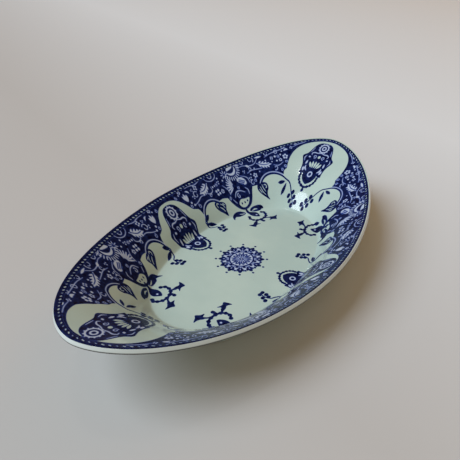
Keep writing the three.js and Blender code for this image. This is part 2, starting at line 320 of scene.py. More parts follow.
def glaze_ripple(tree, place):
    """The slope of a glaze that was dipped by hand: it ripples over about 12 mm, so highlights waver."""
    ripple = add_node(tree, "ShaderNodeTexNoise", {"Vector": place, "Scale": 1 / (12 * MM), "Detail": 2.0})
    bump = add_node(
        tree, "ShaderNodeBump", {"Height": ripple.outputs["Fac"], "Strength": 0.25, "Distance": 0.3 * MM},
    )
    return bump.outputs["Normal"]


def glazed_earthenware(colours):
    """White earthenware under a clear lead glaze: glossy, a little uneven, greener where the glaze pools."""
    material, tree = new_material("glazed_earthenware")
    place = add_node(tree, "ShaderNodeTexCoord").outputs["Object"]
    # The tone drifts over about 30 mm
    cloud = add_node(tree, "ShaderNodeTexNoise", {"Vector": place, "Scale": 1 / (30 * MM), "Detail": 3.0})
    drift = add_node(
        tree, "ShaderNodeMapRange", {"Value": cloud.outputs["Fac"], "From Min": 0.35, "From Max": 0.65},
    )
    tone = add_node(
        tree, "ShaderNodeMix",
        {
            MIX_SHARE: drift.outputs["Result"],
            MIX_FROM: tuple(colours.glaze),
            MIX_TO: tuple(colours.glaze_pool),
        },
        data_type="RGBA",
    )
    # Pinholes in the glaze, one in about 9 mm, drawn larger than they are so that they show
    holes = add_node(tree, "ShaderNodeTexVoronoi", {"Vector": place, "Scale": 1 / (9 * MM)})
    speck = add_node(
        tree, "ShaderNodeMapRange",
        {
            "Value": holes.outputs["Distance"],
            "From Min": 0.02, "From Max": 0.05,
            "To Min": 0.35, "To Max": 0.0,
        },
    )
    speckled = add_node(
        tree, "ShaderNodeMix",
        {
            MIX_SHARE: speck.outputs["Result"],
            MIX_FROM: tone.outputs[MIX_RESULT],
            MIX_TO: tuple(colours.pinhole),
        },
        data_type="RGBA",
    )
    # The lip is whiter, for glaze thinned there and for painted light, and its lower corner has painted
    # shade in grey
    lip_shading = add_node(tree, "ShaderNodeAttribute", attribute_name="lip_light_and_shade").outputs["Fac"]
    thin = add_node(tree, "ShaderNodeMapRange", {"Value": lip_shading, "From Max": THINNED_LIT_LIP})
    whiter = add_node(
        tree, "ShaderNodeMix",
        {
            MIX_SHARE: thin.outputs["Result"],
            MIX_FROM: speckled.outputs[MIX_RESULT],
            MIX_TO: tuple(colours.lip),
        },
        data_type="RGBA",
    )
    grey = add_node(
        tree, "ShaderNodeMapRange", {"Value": lip_shading, "From Min": THINNED_LIT_LIP, "From Max": SHADED_CORNER},
    )
    edged = add_node(
        tree, "ShaderNodeMix",
        {
            MIX_SHARE: grey.outputs["Result"],
            MIX_FROM: whiter.outputs[MIX_RESULT],
            MIX_TO: tuple(colours.lip_shading),
        },
        data_type="RGBA",
    )
    shader = add_node(
        tree, "ShaderNodeBsdfPrincipled",
        {
            "Base Color": edged.outputs[MIX_RESULT],
            "Roughness": 0.1,
            "IOR": 1.5,
            "Normal": glaze_ripple(tree, place),
        },
    )
    add_node(tree, "ShaderNodeOutputMaterial", {"Surface": shader.outputs["BSDF"]})
    return material


def underglaze_cobalt(colours):
    """Cobalt blue printed under the glaze: dark where the ink is full, paler at its edges, softly glossy."""
    material, tree = new_material("underglaze_cobalt")
    place = add_node(tree, "ShaderNodeTexCoord").outputs["Object"]
    density = add_node(tree, "ShaderNodeAttribute", attribute_name="ink_depth").outputs["Fac"]
    # The ink took unevenly, in blotches of about 2 mm
    blotch = add_node(tree, "ShaderNodeTexNoise", {"Vector": place, "Scale": 1 / (2 * MM), "Detail": 2.0})
    uneven = add_node(
        tree, "ShaderNodeMapRange",
        {"Value": blotch.outputs["Fac"], "From Min": 0.3, "From Max": 0.75, "To Min": 1.0, "To Max": 0.86},
    )
    strength = add_node(
        tree, "ShaderNodeMath", {0: density, 1: uneven.outputs["Result"]},
        operation="MULTIPLY", use_clamp=True,
    )
    tone = add_node(tree, "ShaderNodeValToRGB", {"Fac": strength.outputs["Value"]})
    tone.color_ramp.elements[0].color = tuple(colours.wash)
    tone.color_ramp.elements[1].color = tuple(colours.ink)
    tone.color_ramp.elements.new(0.5).color = tuple(colours.ink_thin)
    shader = add_node(
        tree, "ShaderNodeBsdfPrincipled",
        {
            "Base Color": tone.outputs["Color"],
            "Roughness": 0.2,
            "IOR": 1.5,
            "Specular IOR Level": 0.05,
            "Normal": glaze_ripple(tree, place),
        },
    )
    add_node(tree, "ShaderNodeOutputMaterial", {"Surface": shader.outputs["BSDF"]})
    return material


def bare_biscuit(colours):
    """Fired clay without glaze, wiped before firing: matt, buff, with fine grit and grey from use."""
    material, tree = new_material("bare_biscuit")
    place = add_node(tree, "ShaderNodeTexCoord").outputs["Object"]
    # Stains of about 6 mm
    stain = add_node(tree, "ShaderNodeTexNoise", {"Vector": place, "Scale": 1 / (6 * MM), "Detail": 4.0})
    tone = add_node(
        tree, "ShaderNodeMix",
        {MIX_SHARE: stain.outputs["Fac"], MIX_FROM: tuple(colours.biscuit), MIX_TO: tuple(colours.stain)},
        data_type="RGBA",
    )
    # Grit of about half a millimetre
    grit = add_node(tree, "ShaderNodeTexNoise", {"Vector": place, "Scale": 1 / (0.5 * MM), "Detail": 2.0})
    bump = add_node(
        tree, "ShaderNodeBump", {"Height": grit.outputs["Fac"], "Strength": 0.5, "Distance": 0.1 * MM},
    )
    shader = add_node(
        tree, "ShaderNodeBsdfPrincipled",
        {"Base Color": tone.outputs[MIX_RESULT], "Roughness": 0.85, "Normal": bump.outputs["Normal"]},
    )
    add_node(tree, "ShaderNodeOutputMaterial", {"Surface": shader.outputs["BSDF"]})
    return material


def painted_table(colours):
    """A pale painted table top: matt and even, with painted shade that makes it a little darker towards one
    corner.
    """
    material, tree = new_material("painted_table")
    place = add_node(tree, "ShaderNodeTexCoord").outputs["Object"]
    along = add_node(
        tree, "ShaderNodeVectorMath", {0: place, 1: (1.0, -0.45, 0.0)}, operation="DOT_PRODUCT",
    ).outputs["Value"]
    # Painted shade: the tone darkens towards one corner over about 320 mm, for light that falls less there
    drift = add_node(
        tree, "ShaderNodeMapRange", {"Value": along, "From Min": -20 * MM, "From Max": 300 * MM},
    )
    tone = add_node(
        tree, "ShaderNodeMix",
        {
            MIX_SHARE: drift.outputs["Result"],
            MIX_FROM: tuple(colours.table_shaded),
            MIX_TO: tuple(colours.table),
        },
        data_type="RGBA",
    )
    shader = add_node(
        tree, "ShaderNodeBsdfPrincipled", {"Base Color": tone.outputs[MIX_RESULT], "Roughness": 0.7},
    )
    add_node(tree, "ShaderNodeOutputMaterial", {"Surface": shader.outputs["BSDF"]})
    return material


def finish_named(name):
    """The finish of that name, made the first time that a piece asks for it."""
    makers = {
        "glazed_earthenware": glazed_earthenware,
        "underglaze_cobalt": underglaze_cobalt,
        "bare_biscuit": bare_biscuit,
        "painted_table": painted_table,
    }
    return bpy.data.materials.get(name) or makers[name](bpy.context.scene.dish_colours)


def oval(size, powers, angle):
    """A point of an oval."""
    cosine, sine = np.cos(angle), np.sin(angle)
    x = size[0] / 2 * np.sign(cosine) * np.abs(cosine) ** (2 / powers[0])
    y = size[1] / 2 * np.sign(sine) * np.abs(sine) ** (2 / powers[1])
    return x, y


class DishSurface:
    """The dish's glazed faces in millimetres: an oval well, and a wall that sweeps up to the edge line."""

    def __init__(self, shape):
        self.edge_size = (shape.edge_length / MM, shape.edge_width / MM)
        self.well_size = (shape.well_length / MM, shape.well_width / MM)
        self.rises = (shape.side_rise / MM, shape.end_rise / MM)
        self.slopes = (shape.side_slope, shape.end_slope)
        self.thickness = shape.thickness / MM
        self.rim_thickness = shape.rim_thickness / MM
        self.lip_reach = shape.lip_reach / MM
        self.lip_under = shape.lip_under / MM
        self.foot_height = shape.foot_height / MM
        self.well_z = self.foot_height + self.thickness

    def edge(self, angle):
        """A point of the edge line."""
        return oval(self.edge_size, EDGE_POWERS, angle)

    def well(self, angle, spread=0.0):
        """A point of the well's edge, or of an oval that stands out from it."""
        size = (self.well_size[0] + 2 * spread, self.well_size[1] + 2 * spread)
        return oval(size, (WELL_POWER, WELL_POWER), angle)

    def edge_gradient(self, x, y):
        """How fast the edge's formula grows along and across the dish at plan points."""
        half = (self.edge_size[0] / 2, self.edge_size[1] / 2)
        along = np.sign(x) * EDGE_POWERS[0] / half[0] * np.abs(x / half[0]) ** (EDGE_POWERS[0] - 1)
        across = np.sign(y) * EDGE_POWERS[1] / half[1] * np.abs(y / half[1]) ** (EDGE_POWERS[1] - 1)
        return along, across

    def inset(self, angle, depth):
        """A point inside the edge line, square to it."""
        x, y = self.edge(angle)
        along, across = self.edge_gradient(x, y)
        size = np.hypot(along, across)
        return x - depth * along / size, y - depth * across / size

    def edge_depth(self, x, y):
        """How deep plan points lie inside the edge line, near enough for a trim close to it."""
        along = np.abs(2 * x / self.edge_size[0]) ** EDGE_POWERS[0]
        across = np.abs(2 * y / self.edge_size[1]) ** EDGE_POWERS[1]
        return (1 - along - across) / np.maximum(np.hypot(*self.edge_gradient(x, y)), TINY)

    def section(self, angle):
        """Where the wall starts in plan, its way outwards, its run, rise and slope at the rim."""
        start = self.well(angle)
        end = self.edge(angle)
        run = np.hypot(end[0] - start[0], end[1] - start[1])
        out = ((end[0] - start[0]) / run, (end[1] - start[1]) / run)
        sweep = np.abs(end[0] / (self.edge_size[0] / 2)) ** SWEEP_POWER
        rise = self.rises[0] + (self.rises[1] - self.rises[0]) * sweep
        slope = self.slopes[0] + (self.slopes[1] - self.slopes[0]) * sweep
        return start, out, run, rise, slope

    def curve(self, run, rise, slope, share):
        """Plan distance and height on the wall's curve at a share of it, and its direction there."""
        near = FLOOR_EASE * run
        far = run - RIM_EASE * run * np.cos(slope)
        far_rise = rise - RIM_EASE * run * np.sin(slope)
        rest = 1 - share
        along = 3 * rest ** 2 * share * near + 3 * rest * share ** 2 * far + share ** 3 * run
        up = 3 * rest * share ** 2 * far_rise + share ** 3 * rise
        way_along = rest ** 2 * near + 2 * rest * share * (far - near) + share ** 2 * (run - far)
        way_up = 2 * rest * share * far_rise + share ** 2 * (rise - far_rise)
        size = np.hypot(way_along, way_up)
        return along, up, way_along / size, way_up / size

    def wall_ring(self, angle, share, depth):
        """Points round the wall at a share of its curve, taken in by a depth."""
        start, out, run, rise, slope = self.section(angle)
        along, up, way_along, way_up = self.curve(run, rise, slope, share)
        along = along + way_up * depth
        up = up - way_along * depth
        return np.stack([start[0] + out[0] * along, start[1] + out[1] * along, self.well_z + up], 1)

    def lip_ring(self, angle, turn, middle, height):
        """Points round the lip on one of its corners, by how far it has turned from the upper face."""
        start, out, run, rise, slope = self.section(angle)
        along, up, way_along, way_up = self.curve(run, rise, slope, 1.0)
        beyond = self.lip_reach * np.sin(turn)
        above = height * np.cos(turn) - middle
        along = along + way_along * beyond - way_up * above
        up = up + way_up * beyond + way_along * above
        return np.stack([start[0] + out[0] * along, start[1] + out[1] * along, self.well_z + up], 1)

    def height(self, x, y):
        """Height of the upper face over plan points, by halving: first the wall's angle, then the share."""
        x, y = np.abs(x), np.abs(y)
        low, high = np.zeros_like(x), np.full_like(x, math.pi / 2)
        for _ in range(HALVINGS):
            middle = (low + high) / 2
            start, out = self.section(middle)[:2]
            beyond = out[0] * (y - start[1]) - out[1] * (x - start[0]) > 0
            low, high = np.where(beyond, middle, low), np.where(beyond, high, middle)
        start, out, run, rise, slope = self.section((low + high) / 2)
        wanted = (x - start[0]) * out[0] + (y - start[1]) * out[1]
        low, high = np.zeros_like(x), np.ones_like(x)
        for _ in range(HALVINGS):
            middle = (low + high) / 2
            short = self.curve(run, rise, slope, middle)[0] < wanted
            low, high = np.where(short, middle, low), np.where(short, high, middle)
        return self.well_z + self.curve(run, rise, slope, np.where(wanted > 0, low, 0.0))[1]

    def film(self, x, y):
        """Points of a film of print over plan points."""
        return np.stack([x, y, self.height(x, y) + FILM_LIFT], 1)


def smooth(points, steps=6, closed=False):
    """A smooth line through points."""
    points = np.asarray(points, float)
    if closed:
        padded = np.concatenate([points[-1:], points, points[:2]])
    else:
        padded = np.concatenate([2 * points[:1] - points[1:2], points, 2 * points[-1:] - points[-2:-1]])
    share = np.arange(steps)[:, None] / steps
    pieces = []
    for a, b, c, d in zip(padded[:-3], padded[1:-2], padded[2:-1], padded[3:]):
        pieces.append(
            b + (c - a) / 2 * share + (a - 2.5 * b + 2 * c - d / 2) * share ** 2
            + (1.5 * (b - c) + (d - a) / 2) * share ** 3
        )
    if not closed:
        pieces.append(points[-1:])
    return np.concatenate(pieces)


def spiral(centre, start_radius, end_radius, start, end, steps=18):
    """Points of a spiral, by its angles in degrees."""
    angle = np.radians(np.linspace(start, end, steps + 1))
    radius = np.linspace(start_radius, end_radius, steps + 1)
    return np.stack([centre[0] + radius * np.cos(angle), centre[1] + radius * np.sin(angle)], 1)


def arc(centre, radius, start, end, steps=16):
    """Points of an arc, by its angles in degrees."""
    return spiral(centre, radius, radius, start, end, steps)


def polar(centre, radius, angle):
    """The point at a distance from a centre, by its angle in degrees."""
    return arc(centre, radius, angle, angle, 0)[0]


class Drawing:
    """A print on a grid: how deep each place lies inside the full ink, and inside ink and wash together."""

    def __init__(self, low, high, step=GRID_STEP):
        self.low, self.step = low, step
        across = np.arange(low[0], high[0] + step / 2, step)
        up = np.arange(low[1], high[1] + step / 2, step)
        self.x, self.y = np.meshgrid(across, up)
        self.ink = np.full(self.x.shape, -REACH)
        self.cover = self.ink.copy()

    def lay(self, low, high, depth_of, tone):
        """Lay a shape on the part of the grid round it."""
        first = [max(0, int((low[i] - REACH - self.low[i]) / self.step)) for i in (0, 1)]
        last = [max(0, int((high[i] + REACH - self.low[i]) / self.step) + 2) for i in (0, 1)]
        window = (slice(first[1], last[1]), slice(first[0], last[0]))
        if self.x[window].size == 0:
            return
        depth = depth_of(self.x[window], self.y[window])
        if tone == INK:
            self.ink[window] = np.maximum(self.ink[window], depth)
        else:
            self.ink[window] = np.minimum(self.ink[window], -depth)
        if tone == BARE:
            self.cover[window] = np.minimum(self.cover[window], -depth)
        else:
            self.cover[window] = np.maximum(self.cover[window], depth)

    def fill(self, outline, tone=INK):
        """An area inside a closed outline."""
        outline = np.asarray(outline, float)
        following = np.roll(outline, -1, 0)

        def depth_of(x, y):
            nearest = np.full(x.shape, np.inf)
            inside = np.zeros(x.shape, bool)
            for (ax, ay), (bx, by) in zip(outline, following):
                span = (bx - ax) ** 2 + (by - ay) ** 2
                if span == 0:
                    continue
                share = np.clip(((x - ax) * (bx - ax) + (y - ay) * (by - ay)) / span, 0, 1)
                away = np.hypot(x - ax - share * (bx - ax), y - ay - share * (by - ay))
                nearest = np.minimum(nearest, away)
                crosses = (ay > y) != (by > y)
                if ay != by:
                    inside ^= crosses & (x < (bx - ax) * (y - ay) / (by - ay) + ax)
            return np.where(inside, nearest, -nearest)

        self.lay(outline.min(0), outline.max(0), depth_of, tone)

    def stroke(self, points, widths, tone=INK):
        """A line whose width runs through the given widths."""
        points = np.asarray(points, float)
        widths = np.atleast_1d(widths)
        radii = np.interp(np.linspace(0, 1, len(points)), np.linspace(0, 1, len(widths)), widths) / 2
        for a, b, ra, rb in zip(points[:-1], points[1:], radii[:-1], radii[1:]):
            span = max(np.sum((b - a) ** 2), TINY)

            def depth_of(x, y, a=a, b=b, ra=ra, rb=rb, span=span):
                share = np.clip(((x - a[0]) * (b[0] - a[0]) + (y - a[1]) * (b[1] - a[1])) / span, 0, 1)
                away = np.hypot(x - a[0] - share * (b[0] - a[0]), y - a[1] - share * (b[1] - a[1]))
                return ra + (rb - ra) * share - away

            self.lay(np.minimum(a, b) - max(ra, rb), np.maximum(a, b) + max(ra, rb), depth_of, tone)

    def line(self, points, widths, tone=INK):
        """A smooth line through points."""
        self.stroke(smooth(points), widths, tone)

    def disc(self, centre, radius, tone=INK):
        """A round dot."""
        self.stroke([centre, centre], 2 * radius, tone)

    def ring(self, centre, radius, width, tone):
        """A round line."""
        self.stroke(arc(centre, radius, 0, 360, 24), width, tone)

    def leaf(self, base, tip, width, bend=0.0, tone=INK):
        """A pointed leaf that bends sideways by a share of its length."""
        base, tip = np.asarray(base, float), np.asarray(tip, float)
        along = tip - base
        middle = (base + tip) / 2 + bend * np.array([-along[1], along[0]])
        self.stroke(smooth([base, middle, tip], 5), (0.25, 0.75 * width, width, 0.8 * width, 0.1), tone)

    def saw_leaf(self, base, tip, width, bend):
        """A pale leaf with a toothed edge and a vein."""
        base, tip = np.asarray(base, float), np.asarray(tip, float)
        along = tip - base
        length = np.hypot(*along)
        across = np.array([-along[1], along[0]]) / length
        self.leaf(base, tip, 0.55 * width, bend, PALE)
        for share, reach in ((0.1, 0.9), (0.28, 1.0), (0.46, 0.9), (0.62, 0.7)):
            for side in (-1, 1):
                root = base + along * (share + 0.04) + across * bend * length * 4 * share * (1 - share)
                point = root + along * 0.17 + across * side * width / 2 * reach
                self.leaf(root, point, 0.24 * width, tone=PALE)
        spine = (base + tip) / 2 + bend * np.array([-along[1], along[0]])
        self.line([base + along * 0.1, spine, tip - along * 0.2], (0.5, 0.4, 0.3))

    def flower(self, centre, radius, petals, turn):
        """A small pale flower: round petals, and a dot of ink in the middle."""
        for angle in turn + np.arange(petals) * 360 / petals:
            self.disc(polar(centre, 0.62 * radius, angle), 0.36 * radius, PALE)
        self.disc(centre, 0.3 * radius)

    def fan(self, centre, inner, outer, start, end, count, width):
        """Pale petals that spread from a centre."""
        for angle in np.linspace(start, end, count):
            root = polar(centre, inner, angle)
            tip = polar(centre, outer, angle)
            self.stroke([root, (root + tip) / 2, tip], (0.5 * width, width, 0.7 * width), PALE)

    def berries(self, stem, dots):
        """A spray of berries on a thin stem."""
        self.line(stem, (0.8, 0.7, 0.55))
        for x, y in dots:
            self.stroke([(x - 0.3, y), (x + 0.3, y)], 2)

    def depth_at(self, x, y):
        """Depth inside the full ink at one place."""
        column = round((x - self.low[0]) / self.step)
        row = round((y - self.low[1]) / self.step)
        if 0 <= row < self.ink.shape[0] and 0 <= column < self.ink.shape[1]:
            return self.ink[row, column]
        return -REACH

    def cut(self, depth):
        """Keep the print only where the given depth is above zero."""
        self.ink = np.minimum(self.ink, depth)
        self.cover = np.minimum(self.cover, depth)


def inner_triangles(field, *layers):
    """The part of a grid where the field is above zero, as triangles, with layers read at their corners."""
    index = np.arange(field.size).reshape(field.shape)
    a, b = index[:-1, :-1].ravel(), index[:-1, 1:].ravel()
    c, d = index[1:, 1:].ravel(), index[1:, :-1].ravel()
    corners = np.concatenate([np.stack([a, b, c], 1), np.stack([a, c, d], 1)])
    value = field.ravel()
    inside = value[corners] > 0
    count = inside.sum(1)

    def turned(rows, first):
        """Corners of triangles, each turned to start at its given corner."""
        order = (first[:, None] + np.arange(3)) % 3
        return np.take_along_axis(rows, order, 1).T

    def key(i, j):
        """One number for a grid point, or for the cut between two of them."""
        return np.minimum(i, j) * field.size + np.maximum(i, j)

    # Triangles that lie inside, those with one corner inside, and those with one corner outside
    full = corners[count == 3]
    tip, right, left = turned(corners[count == 1], inside[count == 1].argmax(1))
    hole, second, third = turned(corners[count == 2], inside[count == 2].argmin(1))
    keys = np.concatenate([
        key(full, full),
        np.stack([key(tip, tip), key(tip, right), key(tip, left)], 1),
        np.stack([key(hole, second), key(second, second), key(third, third)], 1),
        np.stack([key(hole, second), key(third, third), key(hole, third)], 1),
    ])
    used, triangles = np.unique(keys, return_inverse=True)
    i, j = used // field.size, used % field.size
    step = value[i] - value[j]
    share = np.clip(value[i] / np.where(i == j, 1.0, step), LEAST_CUT, 1 - LEAST_CUT) * (i != j)
    read = [layer.ravel()[i] * (1 - share) + layer.ravel()[j] * share for layer in layers]
    return triangles.reshape(-1, 3), read


def select_only(piece):
    """Make a piece the only one selected, and active."""
    bpy.ops.object.select_all(action="DESELECT")
    piece.select_set(True)
    bpy.context.view_layer.objects.active = piece


def edit_all(piece, *steps):
    """Run mesh operators on the whole of a piece in edit mode."""
    select_only(piece)
    bpy.ops.object.mode_set(mode="EDIT")
    for step in steps:
        bpy.ops.mesh.select_all(action="SELECT")
        step()
    bpy.ops.object.mode_set(mode="OBJECT")


def ring_piece(name, rings, lip_light_and_shade=None):
    """A closed piece from rings of points: a grid with its seam merged, and each ring's painted lip light
    and shade if given.
    """
    rings = np.asarray(rings)
    count, around = rings.shape[:2]
    bpy.ops.object.select_all(action="DESELECT")
    bpy.ops.mesh.primitive_grid_add(x_subdivisions=around, y_subdivisions=count - 1, size=1)
    piece = bpy.context.object
    piece.name = piece.data.name = name
    places = np.concatenate([rings, rings[:, :1]], 1).reshape(-1, 3) * MM
    points = len(piece.data.vertices)
    if points != len(places):
        raise RuntimeError(f"{name}: the grid has {points} points for {len(places)} places")
    piece.data.vertices.foreach_set("co", places.ravel())
    if lip_light_and_shade is not None:
        values = np.repeat(np.asarray(lip_light_and_shade, np.float32), around + 1)
        piece.data.attributes.new("lip_light_and_shade", "FLOAT", "POINT").data.foreach_set("value", values)
    while piece.data.uv_layers:
        piece.data.uv_layers.remove(piece.data.uv_layers[0])
    edit_all(
        piece,
        lambda: bpy.ops.mesh.remove_doubles(threshold=MERGE_DISTANCE * MM),
        lambda: bpy.ops.mesh.fill_holes(sides=0),
        lambda: bpy.ops.mesh.normals_make_consistent(inside=False),
    )
    bpy.ops.object.shade_smooth_by_angle(angle=SMOOTH_ANGLE)
    return piece


def film_piece(name, drawing, place):
    """A closed film of print: the drawing laid on the dish, with a soft change from ink to wash."""
    halo = bpy.context.scene.dish_print.halo / MM
    soft = np.clip((drawing.ink / halo + 1) / 2, 0, 1)
    density = soft * soft * (3 - 2 * soft)
    triangles, (u, v, density) = inner_triangles(drawing.cover, drawing.x, drawing.y, density)
    points = place(u, v)
    a, b, c = (points[corner, :2] for corner in triangles.T)
    turn = (b[:, 0] - a[:, 0]) * (c[:, 1] - a[:, 1]) - (c[:, 0] - a[:, 0]) * (b[:, 1] - a[:, 1])
    if turn.sum() < 0:
        triangles = triangles[:, ::-1]
    mesh = bpy.data.meshes.new(name)
    mesh.from_pydata((points * MM).tolist(), [], triangles.tolist())
    mesh.attributes.new("ink_depth", "FLOAT", "POINT").data.foreach_set("value", density.astype(np.float32))
    piece = bpy.data.objects.new(name, mesh)
    bpy.context.scene.collection.objects.link(piece)
    select_only(piece)
    solidify = piece.modifiers.new("Film", "SOLIDIFY")
    solidify.thickness = FILM_THICKNESS * MM
    solidify.offset = -1
    bpy.ops.object.modifier_apply(modifier=solidify.name)
    bpy.ops.object.shade_smooth_by_angle(angle=SMOOTH_ANGLE)
    lay_flat_map(piece)
    return piece


def lay_flat_map(piece):
    """Give a piece a UV map as seen from above."""
    mesh = piece.data
    layer = mesh.uv_layers.new(name="OFBake")
    points = np.empty(len(mesh.vertices) * 3, np.float32)
    mesh.vertices.foreach_get("co", points)
    plan = points.reshape(-1, 3)[:, :2]
    plan = (plan - plan.min(0)) / np.ptp(plan, 0)
    corner = np.empty(len(mesh.loops), np.int32)
    mesh.loops.foreach_get("vertex_index", corner)
    places = MAP_MARGIN + (1 - 2 * MAP_MARGIN) * plan[corner]
    layer.data.foreach_set("uv", places.ravel().astype(np.float32))


def dress(piece, finish, slot, *nodes):
    """Give a piece its finish, and let it ride on the dish in place of the CAD nodes."""
    piece.data.materials.clear()
    piece.data.materials.append(finish_named(finish))
    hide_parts(*nodes)
    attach(piece, "root")


def print_film(name, drawing, place, node):
    """Lay a drawing on the dish as a film of cobalt print, in place of a CAD node."""
    dress(film_piece(name, drawing, place), "underglaze_cobalt", "cobalt_print", node)


def draw_edge(surface, sizes):
    """The dark strip along the edge with its white beads, by distance along the edge and depth inside it."""
    angle = np.linspace(0, 2 * math.pi, EDGE_POINTS)
    x, y = surface.edge(angle)
    along = np.concatenate([[0], np.cumsum(np.hypot(np.diff(x), np.diff(y)))])
    length = along[-1]
    width = sizes.edge_width / MM
    over = -sizes.edge_over / MM
    steps = round(length / GRID_STEP)
    drawing = Drawing((0, -EDGE_MARGIN), (length, width + EDGE_MARGIN), length / steps)
    # The ink is laid wider than the strip, so that it has no soft border where the strip is trimmed
    low, high = (-2 * REACH, over - EDGE_MARGIN), (length + 2 * REACH, width + EDGE_MARGIN)
    drawing.fill([low, (high[0], low[1]), high, (low[0], high[1])])
    drawing.cover = np.minimum(drawing.cover, np.minimum(drawing.y - over, width - drawing.y))
    beads = round(length / (sizes.bead_pitch / MM))
    reach = (sizes.bead_length - sizes.bead_width) / MM / 2
    depth = sizes.bead_depth / MM
    slant = BEAD_SLANT * reach
    least, most = BEAD_SIZES
    for i in range(beads):
        middle = (i + 0.5) * length / beads
        share = (least + most) / 2 + (most - least) / 2 * math.sin(BEAD_CHANGE * i)
        bead = [(middle - share * reach, depth + slant), (middle + share * reach, depth - slant)]
        drawing.stroke(bead, share * sizes.bead_width / MM, BARE)

    def place(distance, inwards):
        """Points of the strip: on the dish's face, or round the lip's corner where it runs over the edge."""
        at = np.interp(distance, along, angle)
        turned = np.cos(at)
        lean = np.where(turned > 0, EDGE_INSET, EDGE_OVERLAP) * turned
        inwards = inwards + lean * np.clip((width - inwards) / (width - over), 0, 1)
        face = surface.film(*surface.inset(at, np.maximum(inwards, 0)))
        turn = np.arcsin(np.clip(-inwards / surface.lip_reach, 0, 1))
        corner = surface.lip_ring(at, turn, surface.lip_reach, surface.lip_reach)
        corner[:, 2] += FILM_LIFT
        return np.where(inwards[:, None] < 0, corner, face)

    return drawing, place


def draw_ground(drawing, surface):
    """The blue ground of a quarter: from the edge strip in to the reserves, the lobes and the pendant."""
    outer = np.stack(surface.inset(np.linspace(0, math.pi / 2, 91), GROUND_DEPTH), 1)
    side_arc = arc(SIDE_LOBE, LOBE_RADIUS, *SIDE_LOBE_ARC, 20)
    end_arc = arc(END_LOBE, LOBE_RADIUS, *END_LOBE_ARC, 22)
    inner = np.concatenate([
        smooth(SIDE_RESERVE),
        [(18.4, 39.2)],
        side_arc,
        smooth([side_arc[-1], (37.4, 36.1), PENDANT_EDGE[0]]),
        smooth(PENDANT_EDGE),
        smooth([PENDANT_EDGE[-1], (61.2, 27), end_arc[0]]),
        end_arc,
        smooth(END_RESERVE),
    ])
    end_side = [(END_RESERVE[-1][0], -GROUND_OVERRUN), (outer[0][0], -GROUND_OVERRUN)]
    middle_side = [(-GROUND_OVERRUN, outer[-1][1]), (-GROUND_OVERRUN, SIDE_RESERVE[0][1])]
    drawing.fill(np.concatenate([inner, end_side, outer, middle_side]))


